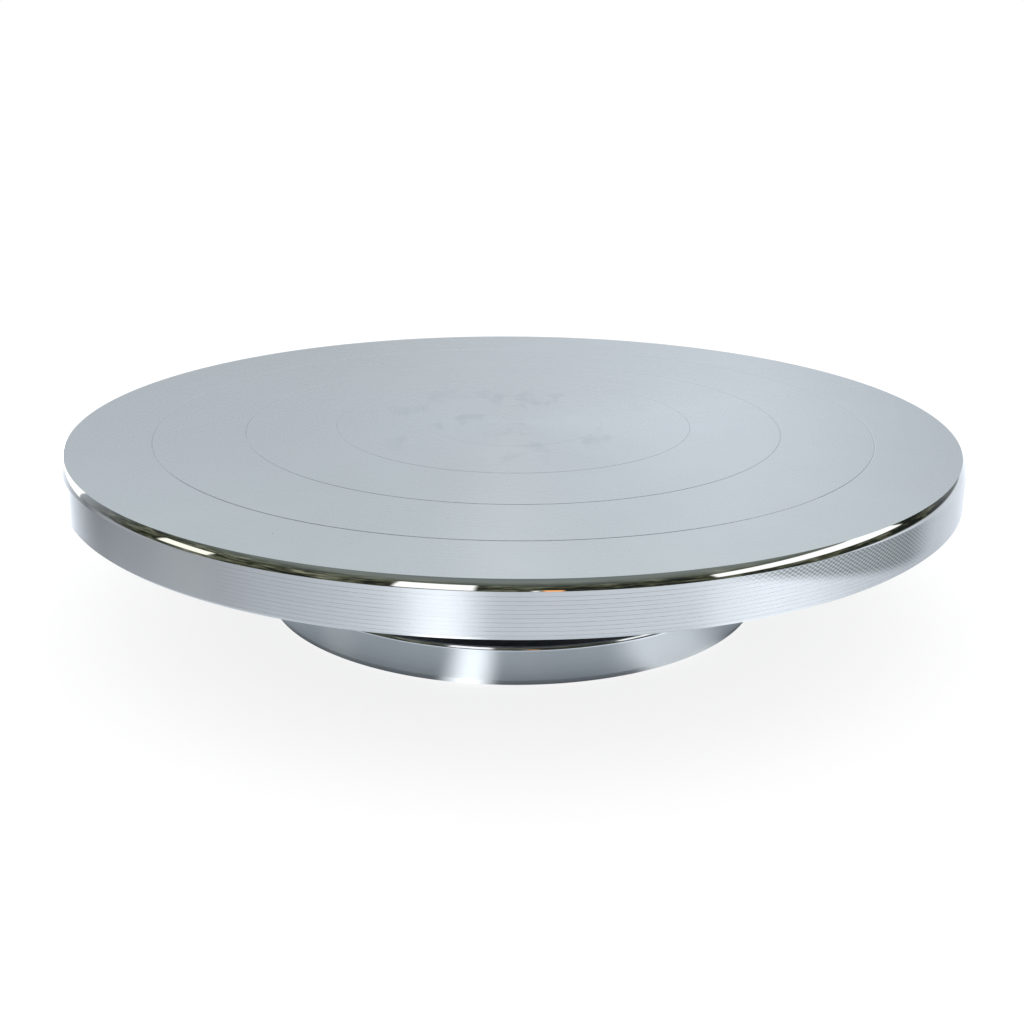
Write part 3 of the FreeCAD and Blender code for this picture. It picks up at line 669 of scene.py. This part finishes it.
def plate_part(face):
    """Which of the plate's four finishes a face has."""
    c = face.center
    radius = math.hypot(c.x, c.y)
    if c.z > PLATE_TOP - RING_DEPTH - NEAR and radius < PLATE_R - BEVEL_WIDTH:
        return 0
    if radius > PLATE_R - BEVEL_WIDTH - NEAR and c.z > PLATE_TOP - BEVEL_HEIGHT:
        return 1
    if radius > PLATE_R - RIM_CHAMFER - NEAR:
        return 2
    return 3


def base_part(face):
    """Which of the base's four finishes a face has."""
    radius = math.hypot(face.center.x, face.center.y)
    if radius < BASE_R - BASE_SIDE:
        # the upper inner faces, under the plate, take the cast metal darkened as painted shade; the
        # lower ones take the ground metal
        return 3 if face.center.z < BASE_BOTTOM + BASE_THICK / 2 else 2
    return 1 if face.center.z > BASE_BOTTOM + BASE_THICK - BASE_BEVEL_HEIGHT else 0


assign(plate, [top_metal, bevel_metal, rim_metal, shade_darkened_cast_metal], plate_part)
assign(base, [base_metal, base_bevel_metal, shade_darkened_cast_metal, ground_metal], base_part)


def spindle_steel_finish(name):
    """Ground steel of the spindle, spacer and shim."""
    return turned_metal(name, (0.55, 0.55, 0.54), 0.28, 0.6, 1800.0)


def screw_steel_finish(name):
    """Zinc-plated screws."""
    return dull_metal(name, (0.42, 0.43, 0.44), 0.32, 2600.0, 0.02 * MM)


def spring_steel_finish(name):
    """Blackened snap rings and disc spring."""
    return dull_metal(name, (0.16, 0.17, 0.19), 0.38, 2400.0, 0.02 * MM)


def bearing_steel_finish(name):
    """Polished bearing rings."""
    return turned_metal(name, (0.62, 0.62, 0.62), 0.14, 0.4, 3000.0)


def bearing_balls_finish(name):
    """Mirror-polished balls."""
    return dull_metal(name, (0.72, 0.72, 0.72), 0.05, 900.0, 0.001 * MM, 0.03)


def shield_steel_finish(name):
    """Pressed bearing shields."""
    return turned_metal(name, (0.50, 0.51, 0.52), 0.34, 0.3, 1200.0)


def cage_brass_finish(name):
    """Satin brass cages."""
    return dull_metal(name, (0.66, 0.50, 0.25), 0.34, 2000.0, 0.02 * MM)


def cover_finish(name):
    """Matt rolled sheet of the cover."""
    return dull_metal(name, (0.58, 0.60, 0.62), 0.34, 700.0, 0.03 * MM, 0.10, 0.3)


def plate_finish(name):
    """Cast metal of the hidden CAD plate."""
    return dull_metal(name, (0.35, 0.36, 0.38), 0.5, 1800.0, 0.12 * MM)


def base_finish(name):
    """Cast metal of the hidden CAD base."""
    return dull_metal(name, (0.35, 0.36, 0.38), 0.5, 1800.0, 0.12 * MM)


def rubber_finish(name):
    """Matt black rubber of the feet."""
    return dull_metal(name, (0.025, 0.025, 0.027), 0.75, 2500.0, 0.06 * MM, 0.3, 0.0)


def felt_finish(name):
    """Dark wool felt of the seal."""
    return dull_metal(name, (0.13, 0.12, 0.11), 0.95, 4500.0, 0.35 * MM, 0.35, 0.0)


FINISHES = {
    "spindle_steel": spindle_steel_finish,
    "screw_steel": screw_steel_finish,
    "spring_steel": spring_steel_finish,
    "bearing_steel": bearing_steel_finish,
    "bearing_balls": bearing_balls_finish,
    "shield_steel": shield_steel_finish,
    "cage_brass": cage_brass_finish,
    "cover": cover_finish,
    "plate": plate_finish,
    "base": base_finish,
    "rubber": rubber_finish,
    "felt": felt_finish,
}
SLOTS = {part["node"]: part["material_slot"] for part in frame["record"]["subparts"]}


def finish_nodes():
    """Gives every CAD node the finish of its material."""
    for name, node in frame["nodes"].items():
        node.data.materials.clear()
        node.data.materials.append(FINISHES[SLOTS[name]](name + "_finish"))


finish_nodes()

# ------------------------------------------------------------------- the studio

make_world()
FLOOR_R = 9.0


def disc(name, radius, height, segments=96):
    """A flat disc."""
    build = bmesh.new()
    bmesh.ops.create_circle(build, cap_ends=True, radius=radius, segments=segments)
    mesh = bpy.data.meshes.new(name)
    build.to_mesh(mesh)
    build.free()
    piece = link(name, mesh)
    piece.location.z = height
    return piece


def make_floor():
    """A plain pale floor that glows a little, so shadows stay soft. The metal doesn't mirror it."""
    floor = disc("floor", FLOOR_R, 0.0)
    material, _, shader = new_material("floor_paper")
    shader.inputs["Base Color"].default_value = (0.20, 0.20, 0.20, 1)
    shader.inputs["Roughness"].default_value = 0.9
    shader.inputs["Specular IOR Level"].default_value = 0.0
    shader.inputs["Emission Color"].default_value = (1, 1, 1, 1)
    shader.inputs["Emission Strength"].default_value = 0.83
    floor.data.materials.append(material)
    floor.visible_glossy = False


# azimuth where a patch of light starts, is full, begins to fade and ends, and its strength
FRONT_PATCH = (-17.0, -10.0, -9.0, -2.0, 0.9)
RIGHT_PATCH = (26.0, 33.0, 46.0, 60.0, 0.34)
PATCH_COLOUR = (2.2, 2.3, 2.35, 1)


def light_patch(n, angle, start, full, fading, end, strength):
    """Strength, by azimuth, of one patch of window light on the table."""
    return n.math("MULTIPLY", n.smooth(angle, start, full), n.smooth(angle, fading, end, strength, 0.0))


def light_patches(n, position):
    """Strength of the two patches of window light on the table, in front and to the right."""
    split = n.node("ShaderNodeSeparateXYZ", inputs={"Vector": position})
    ahead = n.math("MULTIPLY", split.outputs[1], -1.0)
    angle = n.math("DEGREES", n.math("ARCTAN2", split.outputs[0], ahead))
    front = light_patch(n, angle, *FRONT_PATCH)
    right = light_patch(n, angle, *RIGHT_PATCH)
    return n.math("ADD", front, right)


def make_table_shade():
    """What the metal mirrors of the floor close by, where the plate shades it."""
    shade = disc("table_shade", 0.30, -0.2 * MM)
    material = bpy.data.materials.new("table_shade")
    material.use_nodes = True
    tree = material.node_tree
    tree.nodes.remove(tree.nodes["Principled BSDF"])
    n = Nodes(tree)
    position = n.node("ShaderNodeTexCoord").outputs["Object"]
    radius, _ = radial(n, position)
    tone = n.ramp(radius, [(0.0, grey(0.02)), (0.086, (0.06, 0.07, 0.08)),
                           (0.098, (0.52, 0.58, 0.64)), (0.15, (0.72, 0.79, 0.85)),
                           (0.30, (0.80, 0.85, 0.90))])
    tone = n.mix(light_patches(n, position), tone, PATCH_COLOUR)
    emission = n.node("ShaderNodeEmission", inputs={"Color": tone})
    clear = n.node("ShaderNodeBsdfTransparent")
    mixed = n.node("ShaderNodeMixShader", inputs={"Fac": n.smooth(radius, 0.12, 0.26)})
    n.feed(emission.outputs[0], mixed.inputs[1])
    n.feed(clear.outputs[0], mixed.inputs[2])
    n.feed(mixed.outputs[0], tree.nodes["Material Output"].inputs["Surface"])
    shade.data.materials.append(material)
    shade.visible_camera = False
    shade.visible_diffuse = False
    shade.visible_shadow = False


def make_backdrop():
    """A white dome round the studio that only the camera sees."""
    build = bmesh.new()
    bmesh.ops.create_uvsphere(build, u_segments=48, v_segments=24, radius=FLOOR_R + 0.5)
    mesh = bpy.data.meshes.new("backdrop")
    build.to_mesh(mesh)
    build.free()
    dome = link("backdrop", mesh)
    material = bpy.data.materials.new("backdrop_paper")
    material.use_nodes = True
    tree = material.node_tree
    tree.nodes.remove(tree.nodes["Principled BSDF"])
    n = Nodes(tree)
    emission = n.node("ShaderNodeEmission", inputs={"Color": (1, 1, 1, 1)})
    n.feed(emission.outputs[0], tree.nodes["Material Output"].inputs["Surface"])
    dome.data.materials.append(material)
    dome.visible_diffuse = False
    dome.visible_glossy = False
    dome.visible_shadow = False
    dome.visible_transmission = False


def make_overhead():
    """A broad overhead light for the floor and the matt pieces."""
    data = bpy.data.lights.new("overhead", "SUN")
    data.energy = 3.0
    data.angle = math.radians(150)
    light = bpy.data.objects.new("overhead", data)
    bpy.context.collection.objects.link(light)
    light.visible_glossy = False


make_floor()
make_table_shade()
make_backdrop()
make_overhead()
bpy.context.scene.view_settings.view_transform = "Standard"
